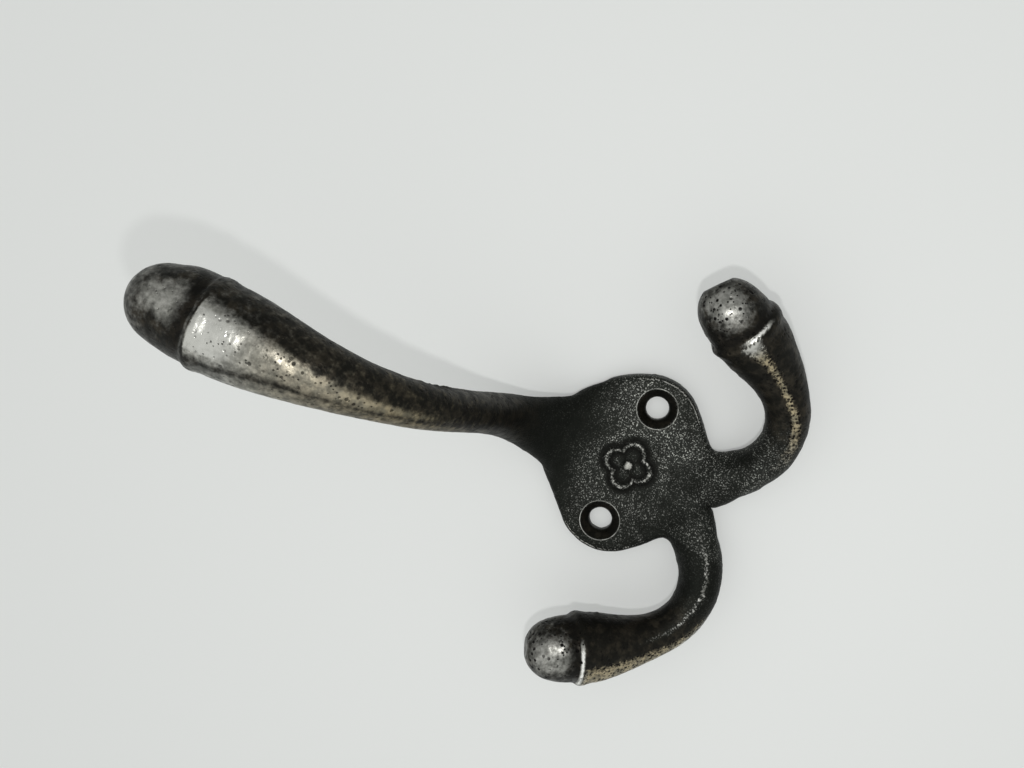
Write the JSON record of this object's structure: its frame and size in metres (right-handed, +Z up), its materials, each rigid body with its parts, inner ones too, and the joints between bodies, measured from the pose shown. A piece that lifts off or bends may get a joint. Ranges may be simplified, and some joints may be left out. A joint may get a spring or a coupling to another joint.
{
  "type": "coat hook",
  "caption": "Cast-iron wall hook with a lozenge back plate and two countersunk screw holes, a long hat arm above, and a pair of coat hooks below, each ending in a collar and an acorn.",
  "frame": {"origin": "centre between the two screw holes, on the back face that lies against the wall", "axes": "+Z up the wall, towards the hat arm; +Y into the wall; +X to the right as seen from the front"},
  "size_m": [0.0896, 0.0679, 0.114],
  "materials": {
    "iron": "dark cast iron, rubbed bright on the fronts of the arms and the acorns"
  },
  "bodies": {
    "root": {"hook_casting": "iron"}
  },
  "joints": []
}
